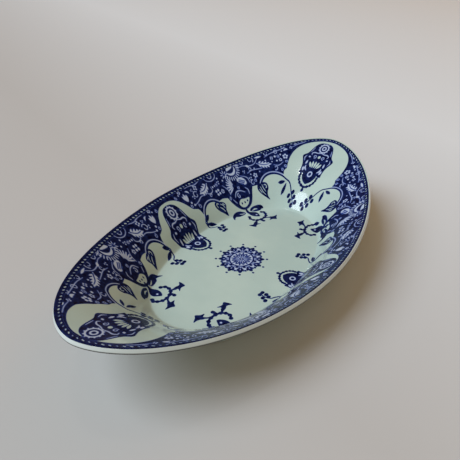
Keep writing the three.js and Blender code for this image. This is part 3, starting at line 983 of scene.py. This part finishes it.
def draw_ground_flowers(drawing):
    """Leaves, flowers and scrolls left pale on the blue ground."""
    # Thin scrolls that join the flowers
    for points in (
        [(17, 42.4), (21, 42.7), (25, 43.6), (28.6, 43)],
        [(35.2, 50.2), (36, 47.6), (39, 45.8), (42.6, 46), (44.6, 47.8)],
        [(29.8, 44.2), (30.6, 42.6), (32.8, 41.6), (35, 42.2), (35.4, 44)],
        [(60.4, 40.2), (64, 39.2), (67.6, 36.2), (71.6, 34.6), (75.4, 35.2)],
        [(63, 34.4), (67, 33.4), (70.6, 31), (73, 29.4)],
        [(80, 32), (85, 30.4), (90, 27.6), (94.6, 24.8)],
        [(79.8, 24.6), (81.6, 21.8), (85, 20.6)],
        [(19, 51.6), (23, 51.2), (27, 50), (31.4, 50.2)],
        [(43, 40.4), (44.4, 37), (43.8, 34.4)],
        [(58, 36.6), (60.6, 33.4), (60, 30.4)],
        [(98, 20.8), (102, 18.6), (105.4, 15.6)],
        [(84, 34), (88.6, 31.4), (92.4, 28.6)],
    ):
        drawing.line(points, (0.3, 0.5, 0.34), PALE)
    for centre, radius, start, end in (
        ((71.4, 38), 2.2, -80, 300), ((40.2, 48.4), 1.7, 150, 500), ((82.4, 32.6), 1.5, 0, 330),
        ((23, 45.8), 1.9, 30, 360), ((94, 26.4), 1.3, 90, 400), ((65.4, 41), 1.4, 180, 500),
        ((79.2, 22.6), 1.4, 200, 480), ((44.4, 50), 1.1, 150, 430), ((61.4, 29), 1.5, 40, 330),
        ((66.4, 34.9), 1.2, 210, 520), ((88, 28.2), 1.5, 10, 350), ((31.8, 40.9), 0.9, 0, 300),
    ):
        drawing.stroke(spiral(centre, radius, 0.4 * radius, start, end), (0.5, 0.4), PALE)
    # Toothed leaves
    drawing.saw_leaf((35, 46.6), (25.6, 44.8), 4.6, 0.08)
    drawing.saw_leaf((72.6, 33.8), (79.6, 26), 4.4, -0.06)
    # Plain leaves, the largest with three veins
    for base, tip, width, bend in (
        ((53.8, 36.6), (57.8, 31.6), 4, 0.1), ((74.6, 36.6), (79, 34), 1.3, 0),
        ((17.6, 50.2), (19.6, 48.2), 1, 0.2), ((66, 38), (67.2, 35.8), 1.5, 0),
        ((92, 24.4), (94.6, 22.6), 1.4, 0.2), ((100, 21), (102.4, 19.6), 1, 0),
    ):
        drawing.leaf(base, tip, width, bend, PALE)
    for shift in (-0.9, 0, 0.9):
        drawing.line([(54.4 + shift, 35.6 + shift / 3), (56.8 + shift, 32.8 + shift / 3)], 0.42)
    # A tulip and a half-open flower
    for tip in ((13.4, 49.2), (15.2, 50), (16.8, 48.8)):
        drawing.leaf((15, 45.4), tip, 1.6, tone=PALE)
    drawing.fan((49.4, 35.8), 1.2, 5, 88, 190, 7, 0.9)
    # A chrysanthemum
    drawing.leaf((52.6, 43.8), (58.2, 43.4), 2.4, 0.12, PALE)
    drawing.stroke(arc((55.4, 44), 3.7, 190, 345), (0.3, 1.2, 1.5, 1.2, 0.3), PALE)
    drawing.fan((55.4, 44), 5.1, 7, 196, 340, 12, 0.75)
    drawing.fan((49.4, 43.4), 0.8, 2.4, 20, 340, 8, 0.6)
    drawing.fan((61, 42), 0.5, 1.8, -140, 140, 6, 0.6)
    # Small flowers and buds
    for x, y, radius, petals in (
        (13.4, 51.6, 1.2, 5), (25.6, 48.7, 1.5, 4), (37.6, 39.6, 1.9, 4), (66, 30.2, 1.5, 5),
        (89.2, 21.5, 1.9, 5), (85.4, 22.8, 1.2, 5), (20.6, 45.6, 1.1, 3), (22.2, 48.8, 0.9, 3),
        (42, 43, 1.1, 3), (82.6, 28.2, 1.2, 4), (62, 36.4, 1.0, 3), (97, 21.6, 1.1, 4),
        (40.8, 38.4, 1.2, 5), (62, 31.4, 1.2, 3),
    ):
        drawing.flower((x, y), radius, petals, 30 + 17 * x)
    for x, y, radius in (
        (16.4, 44.2, 0.6), (17.6, 42.6, 0.55), (36.6, 43.2, 0.55), (38.2, 43, 0.5), (45.6, 42, 0.5),
        (43.4, 44.8, 0.5), (64.2, 32.6, 0.45), (85, 27, 0.7), (83.4, 24.4, 0.6), (88.4, 24.8, 0.6),
        (91, 25.4, 0.5), (78.6, 30.4, 0.5), (80.8, 26.6, 0.45), (47, 47.4, 0.5), (30, 51, 0.45),
        (69, 33, 0.45), (105.4, 16.4, 0.4), (57.6, 39.2, 0.4), (70, 29.4, 0.4), (16.6, 52.2, 0.5),
        (11.8, 50.4, 0.45),
    ):
        drawing.disc((x, y), radius, PALE)


def fill_gaps(drawing):
    """Fine curls, and then smaller ones, in the gaps that are left on the blue ground."""
    by_row, by_column = CURL_STRAY_CHANGES
    for pitch, least, most in CURL_ROUNDS:
        for row in range(round(drawing.y.max() / pitch)):
            for column in range(round(drawing.x.max() / pitch)):
                x = (column + 0.5 * (row % 2) + CURL_STRAY * math.sin(by_row * row)) * pitch
                y = (row + CURL_STRAY * math.sin(by_column * column)) * pitch
                size = min(drawing.depth_at(x, y), most)
                if size >= least:
                    start = CURL_START * (row + column)
                    turn = CURL_TURN if (row + column) % 2 else -CURL_TURN
                    curl = spiral((x, y), size - 0.4, 0.25 * size, start, start + turn)
                    drawing.stroke(curl, (0.3, 0.42), PALE)


def draw_pendant(drawing):
    """The pendant between the lobes: a shell with dots, under thin arcs."""
    shell = [
        (45, 28.6), (45.7, 26.7), (47.4, 25.5), (49.8, 25.2), (52, 25.9), (52.8, 26.8), (50.4, 27.9),
        (47.4, 29.4),
    ]
    drawing.fill(smooth(shell, 5, closed=True), BARE)
    for dot in ((46.8, 27.8), (48.8, 27), (50.8, 26.5)):
        drawing.disc(dot, 0.5)
    drawing.line([(45.4, 32), (48, 33.2), (50.8, 32.2), (53, 29.8)], (0.4, 0.6, 0.4), PALE)
    drawing.stroke(spiral((48.2, 31), 1.2, 0.4, 60, 380), 0.5, PALE)
    drawing.line([(54.6, 27.4), (55.6, 29.2), (55, 31)], (0.4, 0.55, 0.4), PALE)
    drawing.line([(43.2, 32), (44, 29.8)], (0.4, 0.5, 0.4), PALE)


def draw_lobe(drawing, centre, gap, line, leaves, curl, stripes, stem, berries):
    """A white lobe: a line round it that ends in two leaves, a striped curl, and a spray of berries."""
    drawing.stroke(arc(centre, LOBE_GAP_RADIUS, *gap, 24), 0.6, PALE)
    drawing.stroke(arc(centre, LOBE_LINE_RADIUS, *line, 24), (0.8, 1, 0.9))
    for base, tip, width in leaves:
        drawing.leaf(base, tip, width)
    drawing.fill(smooth(curl, 5, closed=True))
    for stripe in stripes:
        drawing.line(stripe, (0.25, 0.45, 0.3), BARE)
    drawing.berries(stem, berries)


def draw_lobes(drawing):
    """The two white lobes of a quarter."""
    draw_lobe(
        drawing, SIDE_LOBE, gap=(150, 40), line=(162, 40),
        leaves=(((17, 34.8), (21.8, 36), 1.9), ((17.4, 33.8), (23.4, 30.8), 2)),
        curl=[
            (34.3, 29.4), (32.4, 31.5), (30.3, 33.8), (29.4, 35.7), (29.9, 37.2), (31.4, 37.5), (33.3, 36.7),
            (35.4, 35.6), (36.8, 34.2), (36.4, 32.9), (35.2, 31.9),
        ],
        stripes=(
            [(31.1, 34.8), (30.8, 36), (31.7, 36.6), (32.5, 35.9)],
            [(32.1, 34.6), (33.2, 33.4), (34, 31.7)],
            [(33.5, 35.5), (34.7, 34.3), (35.1, 32.8)],
            [(35, 35), (36, 33.8)],
        ),
        stem=[(16.9, 34.4), (17.4, 32), (19, 30.4), (21, 29), (21.6, 26.6), (21, 23.6)],
        berries=((20.6, 27.6), (24, 27.7), (19.6, 25.8), (22.8, 25.7), (19.3, 23.5), (21.4, 23.3)),
    )
    draw_lobe(
        drawing, END_LOBE, gap=(0, 108), line=(-14, 108),
        leaves=(((76, 14), (73.5, 17.8), 1.9), ((75.6, 12.9), (68.8, 13), 2)),
        curl=[
            (63.2, 17.2), (61.9, 20), (60.7, 22.8), (60.6, 25), (62.2, 26.3), (64.8, 25.9), (67.2, 25),
            (68.6, 23.2), (67.6, 21.3), (65.4, 20.5), (64, 19.3),
        ],
        stripes=(
            [(65.9, 22.4), (67, 22.4), (67.2, 23.5), (66.2, 24)],
            [(63.2, 20.4), (62.8, 22.4), (63.4, 24.8)],
            [(61.8, 22.4), (61.8, 24.4)],
            [(64.6, 21.4), (64.6, 23.2), (65.2, 24.8)],
        ),
        stem=[(77.3, 14.6), (76.6, 11.4), (74.6, 9.2), (72.4, 7.6), (70.2, 6), (67.2, 3.6)],
        berries=((70, 8), (72.2, 6.1), (67.6, 6), (70, 4.2), (65.8, 3.9), (67.8, 2.3)),
    )


def draw_border(surface):
    """One quarter of the border."""
    drawing = Drawing((0, 0), (surface.edge_size[0] / 2, surface.edge_size[1] / 2))
    trim = surface.edge_depth(drawing.x, drawing.y) - BORDER_DEPTH
    draw_ground(drawing, surface)
    draw_ground_flowers(drawing)
    draw_pendant(drawing)
    drawing.ink = np.minimum(drawing.ink, trim + CURL_OVERRUN)
    fill_gaps(drawing)
    draw_lobes(drawing)
    drawing.cut(trim)
    return drawing


def laid_off(u, v, shifts):
    """Plan points of the border after parts of it were laid off their place."""
    for (middle_u, middle_v), (along, across) in shifts:
        share = np.interp(np.hypot(u - middle_u, v - middle_v), BORDER_SHIFT_REACH, (1, 0))
        u, v = u + share * along, v + share * across
    return u, v


def draw_drop():
    """A drop with ring flower, scrolls, palmette and finial, by distance across and down from its apex."""
    drawing = Drawing((-12.5, -1), (12.5, 33), DROP_GRID_STEP)

    def mirrored(points):
        """Points, and the same points on the drop's other side."""
        points = np.asarray(points, float)
        return points, points * (-1, 1)

    def closed(half):
        """A smooth outline from its half."""
        points = smooth(half)
        return np.concatenate([points, points[-2:0:-1] * (-1, 1)])

    drawing.fill(closed(DROP_OUTLINE))
    # Ring flower
    flower = (0, 4.6)
    drawing.ring(flower, 2.9, 0.8, PALE)
    drawing.fan(flower, 3.1, 3.5, 0, 330, 12, 0.8)
    drawing.ring(flower, 1.2, 0.8, PALE)
    # Scrolls under it, round a bare dot
    drawing.disc((0, 11), 0.9, BARE)
    for scroll, widths in (
        ([(0.2, 8), (2.4, 8.6), (4.6, 8.6), (6, 9.6), (5.6, 10.7)], (0.5, 0.7, 0.4)),
        ([(6.2, 5.4), (6.7, 7.2), (7.2, 9)], (0.3, 0.45, 0.3)),
        ([(8.6, 12), (9.2, 13.6), (8.4, 15.4)], (0.3, 0.6, 0.3)),
        ([(5.6, 18), (5.4, 19.4), (4, 20.6)], (0.5, 1.2, 0.5)),
        ([(6.2, 12.2), (6.6, 12.2)], 1),
    ):
        for side in mirrored(scroll):
            drawing.line(side, widths, PALE)
    for side in mirrored(spiral((3, 11.2), 1.1, 0.5, 80, 420)):
        drawing.stroke(side, 0.45, PALE)
    # Palmette of five petals between four leaves
    for across, top in ((-4.3, 15.1), (-2.2, 14.2), (0, 13.9), (2.2, 14.2), (4.3, 15.1)):
        drawing.leaf((0.5 * across, 18.2), (across, top), 1.4, tone=BARE)
    for side in mirrored([(6.2, 14.6), (6.4, 17.4)]):
        drawing.leaf(*side, 1.2, tone=PALE)
    for side in mirrored([(6.8, 19.2), (6, 21.4)]):
        drawing.leaf(*side, 1.5, tone=PALE)
    # Lower ring flower, on a spade of ink that stands below the drop
    drawing.fill(closed([(0, 20.2), (3.4, 20.8), (4.9, 22.6), (4.3, 24.6), (2.6, 26.6), (0, 28)]))
    drawing.ring((0, 22.2), 1.35, 0.8, PALE)
    # Finial: a pointed arch of scallops with a tip
    arch = [(6, 23.7), (5.9, 25), (5.2, 26.5), (3.9, 27.9), (2.1, 28.9), (0, 29.5)]
    for side in mirrored(arch):
        drawing.line(side, (1.2, 1, 1.2))
        for place in side[:-1]:
            drawing.disc(place, 0.85)
    drawing.line([(0, 29.2), (0, 30.2), (0, 31)], (1, 1.2, 1.9))
    return drawing


def draw_sprig():
    """A sprig at the well's edge: a stem with two leaves, and a scalloped ring with a bud and two arrows."""
    drawing = Drawing((32, 3), (61, 31))
    # Stem, and its tongue in the ring
    drawing.line([(48.6, 25.4), (48.2, 23.4), (48.2, 21.6)], (1.3, 1.7, 3))
    tongue = [
        (48.3, 24), (49.8, 22.2), (51, 20.4), (51.2, 18.4), (49.8, 16.4), (48.5, 15.2), (47.2, 16.2),
        (46.2, 18.4), (46.2, 20.6), (47.2, 22.6),
    ]
    drawing.fill(smooth(tongue, 5, closed=True))
    drawing.disc((48.8, 17.8), 0.6, PALE)
    # Scalloped ring
    ring = [
        (43.7, 19.9), (42.1, 18.3), (42.1, 16), (43.4, 14), (45.8, 12.7), (48.6, 12.2), (51.3, 12.7),
        (53.2, 14.2), (54.2, 15.9), (53.5, 17.1),
    ]
    drawing.line(ring, 1.3)
    for place in ring:
        drawing.disc(place, 1.1)
    # Bud under the ring, and the stems of the arrows
    drawing.line([(44.4, 13.4), (44.6, 12), (44.8, 10.7)], (1, 1.2, 2.2))
    drawing.line([(44.2, 13.2), (42.4, 14), (40.6, 13.2)], (0.9, 1, 1.6))
    drawing.line([(48.4, 12), (49.8, 10.6), (51, 8.8)], (0.9, 1, 1.6))
    for arrow in (
        [
            (41.8, 14.2), (39.2, 14.2), (37.2, 13.6), (35, 15.1), (35.1, 12.8), (35.9, 10.8), (38.2, 11.4),
            (41, 10.3), (39.9, 12), (41.2, 13),
        ],
        [
            (50.2, 10), (50.2, 8.9), (47.8, 8.2), (49.7, 7.1), (51.3, 5.2), (53, 6.3), (55.8, 7.6),
            (53.6, 8.2), (52.2, 9.2), (51.4, 10),
        ],
    ):
        drawing.fill(smooth(arrow, 4, closed=True))
    # Leaves on the wall on both sides of the stem, each with a bare slit
    for leaf, slit in (
        (
            [
                (46.8, 24.2), (45.2, 26.4), (43.2, 27.7), (40.6, 28.5), (38.2, 28.3), (36.4, 26.8),
                (35.4, 25), (37.6, 26), (39.2, 26.2), (40.4, 24.9), (42.2, 24.2), (44.4, 23.7),
            ],
            [(46, 24.3), (44.4, 25.1), (43, 26.2)],
        ),
        (
            [
                (50, 23.4), (52.4, 23.4), (54.8, 22.3), (57, 20.8), (58, 19.2), (57.6, 18), (56.4, 18.6),
                (55, 18.8), (53, 19.8), (51.2, 21.4),
            ],
            [(51.2, 22.2), (53, 21.7), (54.4, 20.6)],
        ),
    ):
        drawing.fill(smooth(leaf, 4, closed=True))
        drawing.line(slit, (0.3, 0.6, 0.3), BARE)
    return drawing


def draw_rosette():
    """The ornament in the middle: a daisy in a scalloped ring, with leaves and dots all round."""
    drawing = Drawing((-14, -13), (14, 13), ROSETTE_GRID_STEP)
    middle = (0, 0)
    stretch = (ROSETTE_STRETCH, 1)

    def at(angle, radius):
        """A place on the rosette."""
        return polar(middle, radius, angle) * stretch

    # Daisy on a pale ground, in a ring
    drawing.fill(arc(middle, 8, 0, 360, 48)[:-1] * stretch, PALE)
    drawing.disc(middle, 1)
    for angle in range(0, 360, 45):
        drawing.leaf(at(angle, 1.2), at(angle, 4.3), 1.7)
        drawing.leaf(at(angle + 22.5, 2.6), at(angle + 22.5, 4.6), 0.8)
        drawing.stroke([at(angle, 1.6), at(angle, 3.4)], 0.4, PALE)
    drawing.stroke(arc(middle, 5.2, 0, 360, 48) * stretch, 0.7)
    # Scallops, leaves and dots round it
    for angle in range(0, 360, 30):
        drawing.disc(at(angle + 15, 6), 0.75)
        base, tip = at(angle, 5.6), at(angle, 10)
        drawing.leaf(base, tip, 2.3)
        drawing.stroke([base, (base + tip) / 2], 0.45, PALE)
        for side in (-1, 1):
            drawing.leaf(at(angle, 6.6), at(angle + 9 * side, 9), 1.1, 0.1 * side)
        drawing.disc(at(angle + 15, 8.6), 0.6)
        drawing.disc(at(angle, 11), 0.55)
    drawing.disc(middle, 0.45, PALE)
    return drawing


class DISH_OT_ware(bpy.types.Operator):
    """Model the glazed ware: floor, wall, lip and underside in one closed skin"""

    bl_idname = "dish.ware"
    bl_label = "Glazed ware"

    def execute(self, context):
        surface = DishSurface(context.scene.dish_shape)
        angle = np.linspace(0, 2 * math.pi, FACETS_AROUND, endpoint=False)

        def floor_ring(share, z):
            x, y = surface.well(angle)
            return np.stack([share * x, share * y, np.full_like(x, z)], 1)

        rings = [floor_ring(share, surface.well_z) for share in FLOOR_SHARES]
        rings += [surface.wall_ring(angle, share, 0.0) for share in np.linspace(0, 1, WALL_RINGS + 1)]
        lip_light_and_shade = [0.0] * len(rings)
        corner = np.linspace(0, math.pi / 2, LIP_RINGS + 1)
        reach, under = surface.lip_reach, surface.lip_under
        low_middle = surface.rim_thickness - under
        rings += [surface.lip_ring(angle, turn, reach, reach) for turn in corner[1:]]
        rings += [surface.lip_ring(angle, math.pi - turn, low_middle, under) for turn in corner[:0:-1]]
        # Painted light on the lip, and painted shade on its lower corner, darkest next to the under face
        lip_light_and_shade += [THINNED_LIT_LIP] * LIP_RINGS
        lip_light_and_shade += list(np.interp(corner[:0:-1], LOWER_CORNER_TURNS, (SHADED_CORNER, THINNED_LIT_LIP)))
        thinning = surface.thickness - surface.rim_thickness
        for share in np.linspace(1, 0, UNDER_RINGS + 1):
            rings.append(surface.wall_ring(angle, share, surface.thickness - thinning * share))
        rings += [floor_ring(share, surface.foot_height) for share in FLOOR_SHARES[::-1]]
        lip_light_and_shade += [0.0] * (len(rings) - len(lip_light_and_shade))
        piece = ring_piece("glazed_ware", rings, lip_light_and_shade)
        dress(piece, "glazed_earthenware", "earthenware", "clay_body", "glaze_coat", "glaze_recess")
        return {"FINISHED"}


class DISH_OT_foot(bpy.types.Operator):
    """Model the foot ring: glazed sides, and a bare rim that the dish stands on"""

    bl_idname = "dish.foot"
    bl_label = "Foot ring"

    def execute(self, context):
        shape = context.scene.dish_shape
        surface = DishSurface(shape)
        angle = np.linspace(0, 2 * math.pi, FACETS_AROUND, endpoint=False)
        outer = shape.foot_spread / MM
        inner = outer - shape.foot_thickness / MM
        top = surface.foot_height + FOOT_SINK

        def ring(spread, z):
            x, y = surface.well(angle, spread)
            return np.stack([x, y, np.full_like(x, z)], 1)

        turns = np.radians(FOOT_TURNS)
        high = FOOT_ROUNDING * (1 - np.sin(turns))
        beside = FOOT_ROUNDING * (1 - np.cos(turns))
        rings = [ring(outer, top), ring(outer, FOOT_BEND)]
        rings += [ring(outer - inwards, z) for inwards, z in zip(beside, high)]
        rings += [ring(inner + inwards, z) for inwards, z in zip(high, beside)]
        rings += [ring(inner, FOOT_BEND), ring(inner, top), ring(outer, top)]
        piece = ring_piece("foot", rings)
        dress(piece, "glazed_earthenware", "earthenware", "foot_ring")
        piece.data.materials.append(finish_named("bare_biscuit"))
        for face in piece.data.polygons:
            face.material_index = 1 if face.normal.z < FOOT_BARE else 0
        return {"FINISHED"}


class DISH_OT_edge_print(bpy.types.Operator):
    """Print the strip along the edge, with its white beads"""

    bl_idname = "dish.edge_print"
    bl_label = "Edge strip"

    def execute(self, context):
        surface = DishSurface(context.scene.dish_shape)
        drawing, place = draw_edge(surface, context.scene.dish_print)
        print_film("edge_print", drawing, place, "edge_line")
        return {"FINISHED"}


class DISH_OT_border_prints(bpy.types.Operator):
    """Print the four quarters of the border"""

    bl_idname = "dish.border_prints"
    bl_label = "Border quarters"

    def execute(self, context):
        surface = DishSurface(context.scene.dish_shape)
        drawing = draw_border(surface)
        for quarter, (x, y) in QUARTERS.items():

            def place(u, v):
                u, v = laid_off(u, v, BORDER_SHIFTS.get(quarter, ()))
                return surface.film(x * u, y * v)

            print_film(f"border_print_{quarter}", drawing, place, f"border_{quarter}")
        return {"FINISHED"}


class DISH_OT_drop_prints(bpy.types.Operator):
    """Print the drops inside the four reserves"""

    bl_idname = "dish.drop_prints"
    bl_label = "Drops"

    def execute(self, context):
        surface = DishSurface(context.scene.dish_shape)
        drawing = draw_drop()
        for side, (apex, across, down) in DROP_LAYS.items():

            def place(u, v):
                x, y = (apex[i] + across[i] * u + down[i] * v for i in (0, 1))
                return surface.film(x, y)

            print_film(f"drop_print_{side}", drawing, place, f"drop_{side}")
        return {"FINISHED"}


class DISH_OT_sprig_prints(bpy.types.Operator):
    """Print the four sprigs inside the edge of the well"""

    bl_idname = "dish.sprig_prints"
    bl_label = "Sprigs"

    def execute(self, context):
        surface = DishSurface(context.scene.dish_shape)
        drawing = draw_sprig()
        for quarter, (x, y) in QUARTERS.items():
            along, across = SPRIG_SHIFTS[quarter]

            def place(u, v):
                return surface.film(x * (u + along), y * (v + across))

            print_film(f"sprig_print_{quarter}", drawing, place, f"sprig_{quarter}")
        return {"FINISHED"}


class DISH_OT_rosette_print(bpy.types.Operator):
    """Print the ornament in the middle of the well"""

    bl_idname = "dish.rosette_print"
    bl_label = "Rosette"

    def execute(self, context):
        surface = DishSurface(context.scene.dish_shape)

        def place(u, v):
            return surface.film(ROSETTE_SCALE * u, ROSETTE_SCALE * v)

        print_film("rosette_print", draw_rosette(), place, "centre_rosette")
        return {"FINISHED"}


class DISH_OT_stage(bpy.types.Operator):
    """Set the pale table, the soft light and the camera"""

    bl_idname = "dish.stage"
    bl_label = "Table, light and camera"

    def execute(self, context):
        bpy.ops.object.select_all(action="DESELECT")
        bpy.ops.mesh.primitive_plane_add(size=TABLE_SIZE)
        table = context.object
        table.name = table.data.name = "table"
        edit_all(table, lambda: bpy.ops.mesh.subdivide(number_cuts=TABLE_CUTS))
        table.data.materials.append(finish_named("painted_table"))

        for name, (direction, distance, size, power, colour, mirrored) in LIGHTS.items():
            place = Vector(direction).normalized() * distance
            bpy.ops.object.light_add(type="AREA", location=place)
            light = context.object
            light.name = light.data.name = name
            light.data.shape = "DISK"
            light.data.size = size
            light.data.energy = power
            light.data.color = linear(colour)[:3]
            light.rotation_euler = (-place).to_track_quat("-Z", "Y").to_euler()
            light.visible_glossy = mirrored

        world = bpy.data.worlds.new("room")
        context.scene.world = world
        world.use_nodes = True
        world.node_tree.nodes.clear()
        room = add_node(
            world.node_tree, "ShaderNodeBackground",
            {"Color": linear(ROOM_COLOUR), "Strength": ROOM_STRENGTH},
        )
        add_node(world.node_tree, "ShaderNodeOutputWorld", {"Surface": room.outputs["Background"]})

        bpy.ops.object.camera_add(location=CAMERA_PLACE)
        camera = context.object
        azimuth, elevation, roll = (math.radians(a) for a in CAMERA_TURNS)
        back = Vector((
            math.sin(azimuth) * math.cos(elevation),
            -math.cos(azimuth) * math.cos(elevation),
            math.sin(elevation),
        ))
        turn = (-back).to_track_quat("-Z", "Y").to_matrix().to_4x4()
        turn = turn @ turn.Rotation(roll, 4, "Z")
        camera.rotation_euler = turn.to_euler()
        camera.data.angle = math.radians(CAMERA_VIEW)
        camera.data.clip_start = CAMERA_NEAR
        context.scene.camera = camera
        context.scene.view_settings.view_transform = "Standard"
        return {"FINISHED"}


class DISH_PT_panel(bpy.types.Panel):
    """The steps that make the dish, in order"""

    bl_idname = "DISH_PT_panel"
    bl_label = "Appetizer dish"
    bl_space_type = "VIEW_3D"
    bl_region_type = "UI"
    bl_category = "Dish"

    def draw(self, context):
        for operator in STEPS:
            self.layout.operator(operator.bl_idname)


STEPS = (
    DISH_OT_ware,
    DISH_OT_foot,
    DISH_OT_edge_print,
    DISH_OT_border_prints,
    DISH_OT_drop_prints,
    DISH_OT_sprig_prints,
    DISH_OT_rosette_print,
    DISH_OT_stage,
)
GROUPS = {"dish_shape": DishShape, "dish_print": PrintShape, "dish_colours": DishColours}


def register():
    """Register the property groups, the operators and the panel."""
    for name, group in GROUPS.items():
        bpy.utils.register_class(group)
        setattr(bpy.types.Scene, name, PointerProperty(type=group))
    for step in STEPS:
        bpy.utils.register_class(step)
    bpy.utils.register_class(DISH_PT_panel)


def unregister():
    """Take all of it out again."""
    bpy.utils.unregister_class(DISH_PT_panel)
    for step in reversed(STEPS):
        bpy.utils.unregister_class(step)
    for name, group in GROUPS.items():
        delattr(bpy.types.Scene, name)
        bpy.utils.unregister_class(group)


def main():
    """Make the dish and its stage."""
    register()
    bpy.ops.dish.ware()
    bpy.ops.dish.foot()
    bpy.ops.dish.edge_print()
    bpy.ops.dish.border_prints()
    bpy.ops.dish.drop_prints()
    bpy.ops.dish.sprig_prints()
    bpy.ops.dish.rosette_print()
    bpy.ops.dish.stage()


if __name__ == "__main__":
    main()
